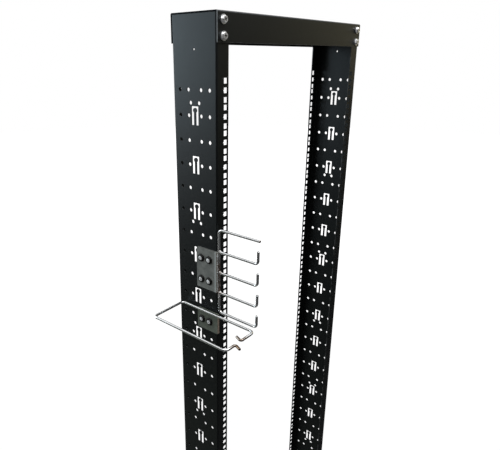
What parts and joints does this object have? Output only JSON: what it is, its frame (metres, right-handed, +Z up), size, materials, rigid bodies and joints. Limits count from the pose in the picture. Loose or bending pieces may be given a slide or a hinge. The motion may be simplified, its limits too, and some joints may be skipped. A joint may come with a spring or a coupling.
{
  "type": "two post open frame rack",
  "caption": "Black two post open frame rack with square-hole posts, a top channel, floor angles and wire cable managers on the left post.",
  "frame": {"origin": "on the floor, at the centre of the four floor anchor holes, midway between the posts", "axes": "+X to the right seen from the front, +Y to the rear, +Z up along the posts"},
  "size_m": [0.6022, 0.3836, 2.0705],
  "materials": {
    "black_powder_coat": "satin",
    "grey_plate": "satin",
    "dark_plate": "satin",
    "bright_wire": "polished",
    "zinc_fastener": "satin",
    "black_cup": "satin"
  },
  "bodies": {
    "root": {"left_post_web": "black_powder_coat", "left_post_front_flange": "black_powder_coat", "left_post_rear_flange": "black_powder_coat", "right_post_web": "black_powder_coat", "right_post_front_flange": "black_powder_coat", "right_post_rear_flange": "black_powder_coat", "top_channel": "black_powder_coat", "front_base_angle": "black_powder_coat", "rear_base_angle": "black_powder_coat", "finger_plate": "grey_plate", "ring_plate": "dark_plate", "finger_frame_wire": "bright_wire", "finger_upper": "bright_wire", "finger_middle": "bright_wire", "finger_lower": "bright_wire", "ring_wire": "bright_wire", "finger_cup_washers": "black_cup", "ring_cup_washers": "black_cup", "finger_screws": "zinc_fastener", "ring_screws": "zinc_fastener", "finger_nuts": "zinc_fastener", "ring_nuts": "zinc_fastener", "top_bolts_front": "zinc_fastener", "top_bolts_rear": "zinc_fastener", "top_washers_front": "zinc_fastener", "top_washers_rear": "zinc_fastener", "top_nuts_front": "zinc_fastener", "top_nuts_rear": "zinc_fastener", "base_bolts_front": "zinc_fastener", "base_bolts_rear": "zinc_fastener", "base_washers_front": "zinc_fastener", "base_washers_rear": "zinc_fastener", "base_nuts_front": "zinc_fastener", "base_nuts_rear": "zinc_fastener"}
  },
  "joints": []
}
